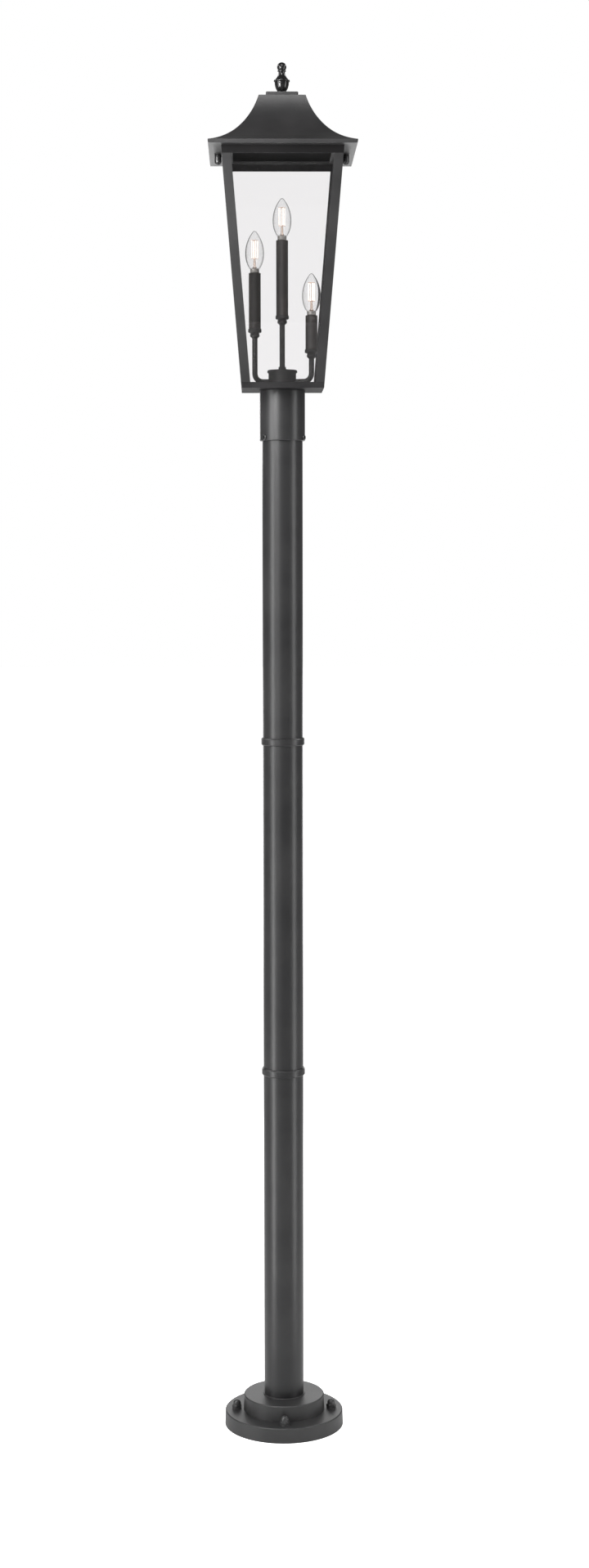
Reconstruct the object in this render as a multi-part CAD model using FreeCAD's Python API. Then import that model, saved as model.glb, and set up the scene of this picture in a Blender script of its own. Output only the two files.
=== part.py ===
import FreeCAD, Part
import math
import os

# A lamp post with one four-sided lantern, lit by three candle lamps at three heights.
# Millimetres, +Z up. The origin is the centre of the base's underside, and -Y is the front.

Vector = FreeCAD.Vector

# ------------------------------------------------------------------ clearances
running_gap = 0.3  # between pieces that move apart
fixed_gap = 0.1  # between pieces that are fixed in each other

# ---------------------------------------------------------------- base casting
base_foot_r = 115.0
base_rim_r = 114.0
plate_height = 28.6
boss_foot_r = 78.6
boss_top_r = 77.8
boss_height = 30.3
base_edge_chamfer = 1.6
socket_lip_width = 2.4
socket_lip_height = 1.6
socket_floor = 14.0
cable_bore_r = 30.0
base_rim_wall = 13.0
plate_skin = 12.0
boss_skin = 11.0
socket_wall = 10.0
anchor_count = 4
anchor_circle_r = 92.075
anchor_hole_r = 5.75
anchor_pillar_r = 12.0

# ------------------------------------------------------------- anchor cap nuts
anchor_thread_r = 5.0
cap_nut_flats = 17.0
cap_nut_flange_r = 9.4
cap_nut_flange_height = 1.6
cap_nut_hex_height = 6.9
cap_nut_dome_r = 7.6
cap_nut_dome_height = 9.5
cap_nut_bore_depth = 13.0
dome_bands = 3

# ------------------------------------------------------------------- lamp post
post_r = 38.1
post_wall = 2.0
lower_section_length = 676.5
middle_section_length = 623.7
upper_section_length = 627.8
joint_ring_r = 41.4
joint_ring_height = 14.0
joint_ring_chamfer = 1.8
joint_spigot_length = 60.0
joint_spigot_wall = 4.0
joint_spigot_chamfer = 1.5

# -------------------------------------------------- fitter, the lantern's foot
fitter_r = 42.65
fitter_grip = 66.3
fitter_head = 28.4
fitter_ledge_width = 3.4
fitter_top_thickness = 4.0
fitter_edge_chamfer = 1.0
set_screw_count = 3
set_screw_first_angle = -21.0
set_screw_r = 3.0
set_screw_head_r = 5.3
set_screw_head_height = 2.6
set_screw_head_chamfer = 1.5
set_screw_key_flats = 4.0
set_screw_key_depth = 1.6
set_screw_rise = 6.0

# ------------------------------------------------------- four-sided glass cage
cage_bottom_half = 76.5
cage_top_half = 112.4
frame_wall = 3.0
pan_floor = 3.0
pan_rim_height = 10.6
window_height = 411.4
top_rail_height = 14.0
corner_face_width = 17.0
groove_width = 3.6
groove_lip = 2.0
groove_lip_reach = 5.0
glass_thickness = 3.0

# ------------------------------------------------------------------------ roof
eave_overhang = 23.9  # past the cage
eave_plate_thickness = 2.5
eave_plate_recess = 0.8
eave_opening_inset = 20.4  # inside the cage
eave_lip_height = 4.3
roof_wall = 2.5
roof_rim_wall = 4.0
roof_knee_inset = 55.7  # inside the eave
roof_top_inset = 37.1  # inside the knee
roof_knee_slope = 46.0
roof_upper_r = 156.1
roof_lower_r = 117.5
cap_plate_inset = 13.5  # inside the roof's top
cap_plate_height = 8.5
cap_plate_corner_chamfer = 2.0
cap_plate_edge_chamfer = 1.0

# ----------------------------------------------------- roof studs and cap nuts
stud_clearance = 7.0  # outside the cage
stud_r = 3.0
stud_reach = 12.0
stud_boss_r = 6.5
stud_thread_depth = 6.0
roof_nut_r = 6.3
roof_nut_length = 19.0
roof_nut_top_chamfer = 0.6
roof_nut_bore_depth = 14.0

# ---------------------------------------------------------------------- finial
finial_height = 58.5
finial_bands = 3
finial_ball_bands = 5
finial_ball_r = 8.7
finial_neck_r = 6.5
finial_neck_height = 44.4
finial_bead_r = 7.9
finial_bead_height = 42.4
finial_bead_half_height = 1.5
finial_bead_edge = 0.6
finial_throat_r = 6.1
finial_throat_height = 39.5
finial_flare_r = 10.4
finial_flare_height = 30.4
finial_rim_r = 14.9
finial_rim_height = 24.4
finial_rim_half_height = 2.6
finial_rim_edge = 0.9
finial_rim_inner_r = 13.2
finial_bowl_r = 12.0
finial_bowl_height = 13.0
finial_foot_r = 7.9
finial_foot_height = 5.0
finial_foot_rim_r = 8.4
finial_shank_r = 4.0
finial_nut_flats = 13.0
finial_nut_height = 6.5
finial_shank_end = 2.0

# --------------------------------------------- threaded tubes and their nuts
tube_r = 5.0
tube_bore_r = 3.2
tube_nut_flats = 14.0
tube_nut_height = 4.0
tube_end = 2.0
riser_r = 4.3
neck_nut_height = 6.0

# ---------------------------------------------------- hub of the candle cluster
hub_r = 26.0
hub_wall = 2.0
hub_height = 29.6
hub_edge_chamfer = 1.0
hub_cover_r = 28.2
hub_cover_height = 5.0
hub_cover_edge_chamfer = 1.6
hub_spigot_height = 3.0
hub_spigot_wall = 2.2
arm_height = 12.6
arm_bend_r = 15.0

# -------------------------------------------------------- candles on the hub
# Each candle's place in plan, the height of its cup over the pan's floor, and its sleeve.
center_cup_rise = 119.2
center_sleeve_length = 141.7
left_plan_x = -51.5
left_plan_y = -8.0
left_cup_rise = 93.7
left_sleeve_length = 105.7
right_plan_x = 54.5
right_plan_y = -20.0
right_cup_rise = 54.9
right_sleeve_length = 65.0

# ------------------------------------------------------------- cups and sleeves
cup_foot_r = 5.8
cup_bead_r = 8.9
cup_bead_low = 3.1
cup_bead_high = 6.9
cup_waist_r = 7.4
cup_waist_height = 8.4
cup_lip_low = 10.6
cup_lip_thickness = 1.2
cup_edge_chamfer = 0.7
cup_height = 16.8
cup_seat_depth = 2.5
sleeve_r = 11.2
sleeve_wall = 1.2

# ---------------------------------------------------------------- lamp sockets
socket_r = 9.5
socket_height = 46.0
socket_drop = 1.5
socket_foot_depth = 12.0
shell_r = 7.3
shell_height = 16.0
contact_r = 2.6
contact_height = 1.5

# ------------------------------------------------------------ candle lamps
lamp_screw_r = 5.9
lamp_screw_length = 15.5
lamp_tip_r = 2.6
lamp_tip_length = 2.9
lamp_collar_r = 8.35
lamp_collar_height = 8.0
lamp_collar_chamfer = 0.7
glass_neck_r = 7.2
glass_neck_depth = 3.0
glass_shoulder_r = 9.8
glass_shoulder_height = 0.8
glass_lower_r = 15.0
glass_lower_height = 12.0
glass_widest_r = 17.4
glass_widest_height = 28.4
glass_upper_r = 12.4
glass_upper_height = 52.0
glass_tip_r = 3.6
glass_tip_height = 67.2
glass_tip_rise = 0.5
glass_height = 69.8
glass_wall = 0.9
glass_bands = 3
mount_foot_r = 5.0
mount_neck_r = 2.2
mount_height = 18.5
mount_rod_r = 0.8
filament_count = 4
filament_circle_r = 5.0
filament_width = 1.8
filament_thickness = 0.9
filament_length = 33.0
spider_thickness = 0.9
spider_r = 6.2


# ============================================================ drawing helpers
def point(place):
    """A point of an outline, which lies in the XZ plane."""
    return Vector(place[0], 0, place[1])


def outline(start, *steps):
    """A closed outline. A step is the end of a line, or the middle and the end of an arc."""
    edges = []
    here = start
    for step in steps + (start,):
        if isinstance(step[0], tuple):
            middle, end = step
            edges.append(Part.Arc(point(here), point(middle), point(end)).toShape())
        else:
            end = step
            edges.append(Part.makeLine(point(here), point(end)))
        here = end
    return Part.Wire(edges)


def chamfered_outline(*corners):
    """A closed outline of straight lines. A corner with a third number is cut off by that much."""
    steps = []
    for index, corner in enumerate(corners):
        if len(corner) == 2:
            steps.append(corner)
            continue
        here = point(corner)
        for neighbour in (corners[index - 1], corners[(index + 1) % len(corners)]):
            cut = here + (point(neighbour) - here).normalize() * corner[2]
            steps.append((cut.x, cut.z))
    return outline(steps[0], *steps[1:])


def arc_places(start, middle, end, bands):
    """Places that part an arc into equal straight bands, without its start."""
    arc = Part.Arc(point(start), point(middle), point(end)).toShape()
    places = [(place.x, place.z) for place in arc.discretize(bands + 1)]
    return places[1:-1] + [end]


def turned(wire):
    """A solid of revolution about Z, as a lathe makes it."""
    return Part.Face(wire).revolve(Vector(0, 0, 0), Vector(0, 0, 1), 360)


def cylinder(radius, low, high):
    return Part.makeCylinder(radius, high - low, Vector(0, 0, low))


def pipe(outer_r, inner_r, low, high):
    return cylinder(outer_r, low, high).cut(cylinder(inner_r, low, high))


def hexagon(flats, low, high):
    """A hexagonal bar along Z."""
    corner_r = flats / math.sqrt(3)
    turns = [math.radians(side * 60) for side in range(6)]
    corners = [Vector(corner_r * math.cos(turn), corner_r * math.sin(turn), low) for turn in turns]
    return Part.Face(Part.makePolygon(corners + corners[:1])).extrude(Vector(0, 0, high - low))


def hex_nut(flats, hole_r, low, high):
    return hexagon(flats, low, high).cut(cylinder(hole_r, low, high))


def moved(shape, x=0, y=0, z=0):
    copy = shape.copy()
    copy.translate(Vector(x, y, z))
    return copy


def spun(shape, degrees):
    """A copy turned about the Z axis."""
    copy = shape.copy()
    copy.rotate(Vector(0, 0, 0), Vector(0, 0, 1), degrees)
    return copy


def fused(shapes):
    solid = shapes[0]
    for shape in shapes[1:]:
        solid = solid.fuse(shape)
    return solid.removeSplitter()


def square_bar(half, low, high):
    return Part.makeBox(2 * half, 2 * half, high - low, Vector(-half, -half, low))


def dome_places(radius, center_z, rise):
    """Places from a radius in to the axis on a dome, which bulges up or, with rise -1, down."""
    middle = (radius * math.sqrt(0.5), center_z + rise * radius * math.sqrt(0.5))
    return arc_places((radius, center_z), middle, (0, center_z + rise * radius), dome_bands)


# ================================================= heights and widths that follow
base_top = plate_height + boss_height
lower_joint_z = socket_floor + lower_section_length
upper_joint_z = lower_joint_z + joint_ring_height + middle_section_length
post_top = upper_joint_z + joint_ring_height + upper_section_length
fitter_bottom = post_top - fitter_grip
cage_bottom = post_top + fitter_head
pan_top = cage_bottom + pan_floor
window_bottom = cage_bottom + pan_rim_height
window_top = window_bottom + window_height
cage_top = window_top + top_rail_height
roof_bottom = cage_top + eave_plate_thickness
lip_top = roof_bottom + eave_lip_height
hub_top = pan_top + hub_height
cover_top = hub_top + hub_cover_height
arm_z = pan_top + arm_height
eave_half = cage_top_half + eave_overhang
eave_opening_half = cage_top_half - eave_opening_inset
stud_offset = cage_top_half + stud_clearance
roof_knee_half = eave_half - roof_knee_inset
roof_top_half = roof_knee_half - roof_top_inset
cap_plate_half = roof_top_half - cap_plate_inset

parts = {}


# ======================================================================== post
def anchor_places():
    for i in range(anchor_count):
        angle = math.radians(i * 360 / anchor_count - 90)
        yield anchor_circle_r * math.cos(angle), anchor_circle_r * math.sin(angle)


def make_base_flange():
    """Cast disc and boss, hollow underneath, with a socket for the post and four anchor holes."""
    socket_r_in = post_r + fixed_gap
    lip_r = socket_r_in + socket_lip_width
    body = turned(chamfered_outline(
        (cable_bore_r, 0),
        (base_foot_r, 0),
        (base_rim_r, plate_height, base_edge_chamfer),
        (boss_foot_r, plate_height),
        (boss_top_r, base_top, base_edge_chamfer),
        (lip_r, base_top),
        (lip_r, base_top + socket_lip_height / 2),
        (lip_r - socket_lip_height / 2, base_top + socket_lip_height),
        (socket_r_in, base_top + socket_lip_height),
        (socket_r_in, socket_floor),
        (cable_bore_r, socket_floor)))
    hollow_in = socket_r_in + socket_wall
    hollow_boss = boss_top_r - boss_skin
    hollow_out = base_foot_r - base_rim_wall
    plate_under = plate_height - plate_skin
    hollow = turned(outline(
        (hollow_in, 0),
        (hollow_out, 0),
        (hollow_out, plate_under),
        (hollow_boss, plate_under),
        (hollow_boss, base_top - boss_skin),
        (hollow_in, base_top - boss_skin)))
    body = body.cut(hollow)
    for x, y in anchor_places():
        body = body.fuse(moved(cylinder(anchor_pillar_r, 0, plate_height - plate_skin / 2), x, y))
    for x, y in anchor_places():
        body = body.cut(moved(cylinder(anchor_hole_r, 0, plate_height), x, y))
    return body.removeSplitter()


def make_cap_nut():
    """Acorn nut with a flange, bored blind from below."""
    hex_low = cap_nut_flange_height
    hex_high = hex_low + cap_nut_hex_height
    dome_center = hex_high + cap_nut_dome_height - cap_nut_dome_r
    flange = cylinder(cap_nut_flange_r, 0, hex_low)
    dome = turned(outline(
        (0, hex_low),
        (cap_nut_dome_r, hex_low),
        (cap_nut_dome_r, dome_center),
        *dome_places(cap_nut_dome_r, dome_center, 1)))
    bore = cylinder(anchor_thread_r + running_gap, 0, cap_nut_bore_depth)
    nut = hex_nut(cap_nut_flats, anchor_thread_r, hex_low, hex_high)
    return fused([flange, nut, dome]).cut(bore)


def make_post_section(low, length):
    return pipe(post_r, post_r - post_wall, low, low + length)


def make_joint_coupler(ring_low):
    """Turned ring between two post sections, with a spigot inside each of them."""
    ring_high = ring_low + joint_ring_height
    spigot_r = post_r - post_wall - fixed_gap
    bore_r = spigot_r - joint_spigot_wall
    shoulder = joint_ring_r - joint_ring_chamfer
    return turned(outline(
        (bore_r, ring_low - joint_spigot_length),
        (spigot_r - joint_spigot_chamfer, ring_low - joint_spigot_length),
        (spigot_r, ring_low - joint_spigot_length + joint_spigot_chamfer),
        (spigot_r, ring_low),
        (shoulder, ring_low),
        (joint_ring_r, ring_low + joint_ring_chamfer),
        (joint_ring_r, ring_high - joint_ring_chamfer),
        (shoulder, ring_high),
        (spigot_r, ring_high),
        (spigot_r, ring_high + joint_spigot_length - joint_spigot_chamfer),
        (spigot_r - joint_spigot_chamfer, ring_high + joint_spigot_length),
        (bore_r, ring_high + joint_spigot_length)))


parts["base_flange"] = make_base_flange()
cap_nut = make_cap_nut()
cap_nuts = [moved(cap_nut, x, y, plate_height) for x, y in anchor_places()]
parts["anchor_cap_nuts"] = Part.makeCompound(cap_nuts)
parts["post_section_lower"] = make_post_section(socket_floor, lower_section_length)
parts["joint_coupler_lower"] = make_joint_coupler(lower_joint_z)
parts["post_section_middle"] = make_post_section(lower_joint_z + joint_ring_height, middle_section_length)
parts["joint_coupler_upper"] = make_joint_coupler(upper_joint_z)
parts["post_section_upper"] = make_post_section(upper_joint_z + joint_ring_height, upper_section_length)


# ============================================================ fitter and screws
def set_screw_place(shape, index):
    """Lay a piece that stands along Z out along the radius of one set screw."""
    copy = shape.copy()
    copy.rotate(Vector(0, 0, 0), Vector(0, 1, 0), 90)
    copy.translate(Vector(0, 0, fitter_bottom + set_screw_rise))
    return spun(copy, set_screw_first_angle - index * 360 / set_screw_count)


def make_fitter_collar():
    """Cast cup that slips over the post's top, with a ledge inside that stands on it."""
    grip_r = post_r + running_gap
    ledge_r = grip_r - fitter_ledge_width
    under_top = cage_bottom - fitter_top_thickness
    body = turned(chamfered_outline(
        (grip_r, fitter_bottom),
        (fitter_r, fitter_bottom, fitter_edge_chamfer),
        (fitter_r, cage_bottom, fitter_edge_chamfer),
        (tube_r + fixed_gap, cage_bottom),
        (tube_r + fixed_gap, under_top),
        (ledge_r, under_top),
        (ledge_r, post_top),
        (grip_r, post_top)))
    hole = cylinder(set_screw_r + running_gap, ledge_r, fitter_r + running_gap)
    for index in range(set_screw_count):
        body = body.cut(set_screw_place(hole, index))
    return body


def make_set_screw():
    """Button-head screw with a hexagonal key hole. Its tip bears on the post."""
    tip = post_r + running_gap
    head_low = fitter_r + running_gap
    head_high = head_low + set_screw_head_height
    screw = turned(chamfered_outline(
        (0, tip),
        (set_screw_r, tip),
        (set_screw_r, head_low),
        (set_screw_head_r, head_low),
        (set_screw_head_r, head_high, set_screw_head_chamfer),
        (0, head_high)))
    return screw.cut(hexagon(set_screw_key_flats, head_high - set_screw_key_depth, head_high))


parts["fitter_collar"] = make_fitter_collar()
set_screw = make_set_screw()
for index, side in enumerate(["right", "left", "back"]):
    parts["set_screw_" + side] = set_screw_place(set_screw, index)


# ================================================================= glass cage
def cage_half(z):
    """Half the cage's width over its outer faces, at one height."""
    share = (z - cage_bottom) / (cage_top - cage_bottom)
    return cage_bottom_half + share * (cage_top_half - cage_bottom_half)


def cage_slot(inset, low, high):
    """A tapered block right through the cage from front to back, an inset away from its sides."""
    reach = 2 * cage_half(high)
    low_half = cage_half(low) - inset
    high_half = cage_half(high) - inset
    face = Part.Face(outline((-low_half, low), (low_half, low), (high_half, high), (-high_half, high)))
    return moved(face.extrude(Vector(0, 2 * reach, 0)), y=-reach)


def cage_block(inset, low, high):
    """The cage's tapered form, drawn in by an inset on all four sides."""
    slot = cage_slot(inset, low, high)
    return slot.common(spun(slot, 90))


def cage_wall(inset, thickness, low, high):
    return cage_block(inset, low, high).cut(cage_block(inset + thickness, low, high))


def corners_only(shape, inset, low, high):
    """What is left of a wall when both pairs of its openings are cut."""
    slot = cage_slot(inset, low, high)
    return shape.cut(slot).cut(spun(slot, 90))


column_inset = frame_wall + groove_width + groove_lip


def make_corner_post():
    """Angle with a solid spine and two lips, which hold the edges of two panes in grooves."""
    outside = corners_only(cage_wall(0, frame_wall, window_bottom, window_top), corner_face_width,
                           window_bottom, window_top)
    spine = corners_only(cage_block(frame_wall, pan_top, cage_top), column_inset, pan_top, cage_top)
    lips = corners_only(cage_wall(frame_wall + groove_width, groove_lip, pan_top, cage_top),
                        column_inset + groove_lip_reach, pan_top, cage_top)
    quadrant = Part.makeBox(2 * cage_top_half, 2 * cage_top_half, cage_top, Vector(0, 0, 0))
    return fused([piece.common(quadrant) for piece in (outside, spine, lips)])


def make_glass_pane():
    """Tapered pane of the front, which stands on the pan in the grooves of two corner posts."""
    play = (groove_width - glass_thickness) / 2
    high = cage_top - running_gap
    wall = cage_wall(frame_wall + play, glass_thickness, pan_top, high)
    reach = 2 * cage_top_half
    front = Part.makeBox(2 * reach, reach, high, Vector(-reach, -reach, 0))
    return wall.common(cage_slot(column_inset + play, pan_top, high)).common(front)


def make_bottom_pan():
    """Square pan with a low rim, which carries the posts, the glass and the hub."""
    pan = cage_block(0, cage_bottom, window_bottom).cut(cage_block(frame_wall, pan_top, window_bottom))
    return pan.cut(cylinder(tube_r + fixed_gap, cage_bottom, pan_top))


def make_eave_plate():
    """Flat plate under the roof's edge, open over the cage, with a hole for each roof stud."""
    plate = square_bar(eave_half - eave_plate_recess, cage_top, roof_bottom)
    plate = plate.cut(square_bar(eave_opening_half, cage_top, roof_bottom))
    hole = cylinder(stud_r + running_gap, cage_top, roof_bottom)
    return plate.cut(moved(hole, x=stud_offset)).cut(moved(hole, x=-stud_offset))


parts["bottom_pan"] = make_bottom_pan()
corner_post = make_corner_post()
for turn, corner in enumerate(["back_right", "back_left", "front_left", "front_right"]):
    parts["corner_post_" + corner] = spun(corner_post, 90 * turn)
glass_pane = make_glass_pane()
for turn, side in enumerate(["front", "right", "back", "left"]):
    parts["glass_pane_" + side] = spun(glass_pane, 90 * turn)
parts["top_frame"] = cage_wall(0, frame_wall, window_top, cage_top)
parts["eave_plate"] = make_eave_plate()

# ======================================================================== roof
knee = math.radians(roof_knee_slope)
upper_center_x = roof_knee_half + roof_upper_r * math.sin(knee)
lower_center_x = roof_knee_half + roof_lower_r * math.sin(knee)
top_slope = math.asin((upper_center_x - roof_top_half) / roof_upper_r)
eave_slope = math.asin((lower_center_x - eave_half) / roof_lower_r)
knee_z = lip_top + roof_lower_r * (math.cos(eave_slope) - math.cos(knee))
roof_top = knee_z + roof_upper_r * (math.cos(knee) - math.cos(top_slope))


upper_center_z = knee_z + roof_upper_r * math.cos(knee)
lower_center_z = knee_z + roof_lower_r * math.cos(knee)


def upper_curve(slope, inset):
    """A point of the roof's upper curve, where its slope has this angle."""
    radius = roof_upper_r + inset
    return upper_center_x - radius * math.sin(slope), upper_center_z - radius * math.cos(slope)


def lower_curve(slope, inset):
    radius = roof_lower_r + inset
    return lower_center_x - radius * math.sin(slope), lower_center_z - radius * math.cos(slope)


def mirrored(place):
    return -place[0], place[1]


def hipped_roof(rim_half, top_z, inset):
    """Four concave slopes that meet in hips: one section run both ways, and what they share."""
    edge_slope = math.asin((lower_center_x - rim_half) / (roof_lower_r + inset))
    crown_slope = math.acos((upper_center_z - top_z) / (roof_upper_r + inset))
    edge = lower_curve(edge_slope, inset)
    lower_middle = lower_curve((edge_slope + knee) / 2, inset)
    bend = lower_curve(knee, inset)
    upper_middle = upper_curve((knee + crown_slope) / 2, inset)
    crown = upper_curve(crown_slope, inset)
    section = outline(
        (rim_half, roof_bottom),
        edge,
        (lower_middle, bend),
        (upper_middle, crown),
        mirrored(crown),
        (mirrored(upper_middle), mirrored(bend)),
        (mirrored(lower_middle), mirrored(edge)),
        (-rim_half, roof_bottom))
    reach = 2 * rim_half
    run = moved(Part.Face(section).extrude(Vector(0, 2 * reach, 0)), y=-reach)
    return run.common(spun(run, 90))


def make_roof_shell():
    """Thin hipped shell, open below, with two bosses in its rim for the studs."""
    outer = hipped_roof(eave_half, roof_top, 0)
    inner = hipped_roof(eave_half - roof_rim_wall, roof_top - roof_wall, roof_wall)
    shell = outer.cut(inner)
    boss = cylinder(stud_boss_r, roof_bottom, knee_z)
    hole = cylinder(stud_r + fixed_gap, roof_bottom, roof_bottom + stud_thread_depth)
    for x in (stud_offset, -stud_offset):
        shell = shell.fuse(moved(boss, x=x).common(outer))
    for x in (stud_offset, -stud_offset):
        shell = shell.cut(moved(hole, x=x))
    return shell.cut(cylinder(finial_shank_r + fixed_gap, knee_z, roof_top)).removeSplitter()


def make_cap_plate():
    """Square block between the roof and the finial."""
    low = roof_top
    high = roof_top + cap_plate_height
    block = square_bar(cap_plate_half, low, high)
    uprights = [edge for edge in block.Edges if edge.Length < 2 * cap_plate_half]
    block = block.makeChamfer(cap_plate_corner_chamfer, uprights)
    rim = [edge for edge in block.Edges if edge.BoundBox.ZMin > (low + high) / 2]
    block = block.makeChamfer(cap_plate_edge_chamfer, rim)
    return block.cut(cylinder(finial_shank_r + fixed_gap, low, high))


def make_finial():
    """Turned finial: a ball and bead on a flared neck, over a bowl. Its shank goes into the roof."""
    ball_z = finial_height - finial_ball_r
    ball_low = ball_z - math.sqrt(finial_ball_r ** 2 - finial_neck_r ** 2)
    rim_high = finial_rim_height + finial_rim_half_height
    rim_low = finial_rim_height - finial_rim_half_height
    bead_high = finial_bead_height + finial_bead_half_height
    bead_low = finial_bead_height - finial_bead_half_height
    rim_side = (finial_flare_r + finial_rim_r) / 2
    flare_side = finial_throat_r + (finial_flare_r - finial_throat_r) / 4
    flare_middle = (finial_flare_height + finial_throat_height) / 2
    shank_low = -(cap_plate_height + roof_wall + finial_nut_height + finial_shank_end)
    foot_top = (finial_foot_r, finial_foot_height)
    bowl_side = (finial_bowl_r, finial_bowl_height)
    bowl = arc_places(foot_top, bowl_side, (finial_rim_inner_r, rim_low), finial_bands)
    flare_low = (finial_flare_r, finial_flare_height)
    throat = (finial_throat_r, finial_throat_height)
    flare = arc_places(flare_low, (flare_side, flare_middle), throat, finial_bands)
    ball_foot = (finial_neck_r, ball_low)
    ball = arc_places(ball_foot, (finial_ball_r, ball_z), (0, finial_height), finial_ball_bands)
    solid = turned(outline(
        (0, shank_low),
        (finial_shank_r, shank_low),
        (finial_shank_r, 0),
        (finial_foot_rim_r, 0),
        (finial_foot_rim_r, finial_foot_height / 3),
        foot_top,
        *bowl,
        (finial_rim_r, finial_rim_height - finial_rim_edge),
        (finial_rim_r, finial_rim_height + finial_rim_edge),
        (rim_side, rim_high),
        flare_low,
        *flare,
        (finial_throat_r, bead_low),
        (finial_bead_r, finial_bead_height - finial_bead_edge),
        (finial_bead_r, finial_bead_height + finial_bead_edge),
        (finial_neck_r, bead_high),
        ball_foot,
        *ball))
    return moved(solid, z=roof_top + cap_plate_height)


def make_roof_nut():
    """Long domed nut under the eave plate, bored blind from above."""
    return turned(outline(
        (0, -roof_nut_bore_depth),
        (stud_r + running_gap, -roof_nut_bore_depth),
        (stud_r + running_gap, 0),
        (roof_nut_r - roof_nut_top_chamfer, 0),
        (roof_nut_r, -roof_nut_top_chamfer),
        (roof_nut_r, roof_nut_r - roof_nut_length),
        *dome_places(roof_nut_r, roof_nut_r - roof_nut_length, -1)))


parts["roof_shell"] = make_roof_shell()
parts["cap_plate"] = make_cap_plate()
parts["finial"] = make_finial()
finial_nut = hex_nut(finial_nut_flats, finial_shank_r + fixed_gap, -finial_nut_height, 0)
parts["finial_lock_nut"] = moved(finial_nut, z=roof_top - roof_wall)
stud = cylinder(stud_r, cage_top - stud_reach, roof_bottom + stud_thread_depth)
parts["roof_studs"] = Part.makeCompound([moved(stud, x=-stud_offset), moved(stud, x=stud_offset)])
roof_nut = make_roof_nut()
parts["roof_nut_left"] = moved(roof_nut, x=-stud_offset, z=cage_top)
parts["roof_nut_right"] = moved(roof_nut, x=stud_offset, z=cage_top)

# ============================================================= hub and its tubes
hub_floor_top = pan_top + hub_wall
tube_nut_corner_r = tube_nut_flats / math.sqrt(3)
arm_nut_seat = math.sqrt((hub_r - hub_wall) ** 2 - tube_nut_corner_r ** 2) - fixed_gap
arm_start = arm_nut_seat - tube_nut_height - tube_end
nipple_low = cage_bottom - fitter_top_thickness - tube_nut_height - tube_end
nipple_high = hub_floor_top + tube_nut_height + tube_end


def arm_direction(plan_x, plan_y):
    return math.degrees(math.atan2(plan_y, plan_x))


def laid_out(shape, plan_x, plan_y):
    """Lay a piece that stands along Z out from the hub's centre, towards a candle."""
    copy = shape.copy()
    copy.rotate(Vector(0, 0, 0), Vector(0, 1, 0), 90)
    copy.translate(Vector(0, 0, arm_z))
    return spun(copy, arm_direction(plan_x, plan_y))


side_candles = [(left_plan_x, left_plan_y), (right_plan_x, right_plan_y)]


def make_hub_body():
    """Round can, with a hole in its floor for the nipple and one in its side for each arm."""
    can = turned(chamfered_outline(
        (tube_r + fixed_gap, pan_top),
        (hub_r, pan_top, hub_edge_chamfer),
        (hub_r, hub_top),
        (hub_r - hub_wall, hub_top),
        (hub_r - hub_wall, hub_floor_top),
        (tube_r + fixed_gap, hub_floor_top)))
    hole = cylinder(tube_r + fixed_gap, hub_r / 2, 2 * hub_r)
    for place in side_candles:
        can = can.cut(laid_out(hole, *place))
    return can


def make_hub_cover():
    """Turned lid with a ring that centres it in the can."""
    spigot_r = hub_r - hub_wall - fixed_gap
    return turned(chamfered_outline(
        (tube_r + fixed_gap, hub_top),
        (spigot_r - hub_spigot_wall, hub_top),
        (spigot_r - hub_spigot_wall, hub_top - hub_spigot_height),
        (spigot_r, hub_top - hub_spigot_height),
        (spigot_r, hub_top),
        (hub_cover_r, hub_top),
        (hub_cover_r, cover_top, hub_cover_edge_chamfer),
        (tube_r + fixed_gap, cover_top)))


def riser_top(cup_z, sleeve_length):
    """The end of the thin tube inside a candle, in the foot of its socket."""
    socket_low = sleeve_top(cup_z, sleeve_length) - socket_drop - socket_height
    return socket_low + socket_foot_depth


def sleeve_top(cup_z, sleeve_length):
    return cup_z + cup_height - cup_seat_depth + sleeve_length


def bent_bar(radius, bend_start, rise):
    """Round bar along X from the arm's start, bent through a right angle and run up to a height."""
    start_disc = Part.Face(Part.Wire(Part.makeCircle(radius, Vector(arm_start, 0, 0), Vector(1, 0, 0))))
    bend_disc = moved(start_disc, x=bend_start - arm_start)
    level = start_disc.extrude(Vector(bend_start - arm_start, 0, 0))
    bend = bend_disc.revolve(Vector(bend_start, 0, arm_bend_r), Vector(0, -1, 0), 90)
    upright = moved(cylinder(radius, arm_bend_r, rise), x=bend_start + arm_bend_r)
    return fused([level, bend, upright])


def make_side_arm(plan_x, plan_y, cup_z, sleeve_length):
    """Tube that leaves the hub level, bends upwards and carries a cup on its shoulder."""
    span = math.hypot(plan_x, plan_y)
    bend_start = span - arm_bend_r
    riser_rise = riser_top(cup_z, sleeve_length) - arm_z
    outside = bent_bar(tube_r, bend_start, cup_z - arm_z)
    riser = moved(cylinder(riser_r, cup_z - arm_z, riser_rise), x=span)
    arm = fused([outside, riser]).cut(bent_bar(tube_bore_r, bend_start, riser_rise))
    return spun(moved(arm, z=arm_z), arm_direction(plan_x, plan_y))


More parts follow.
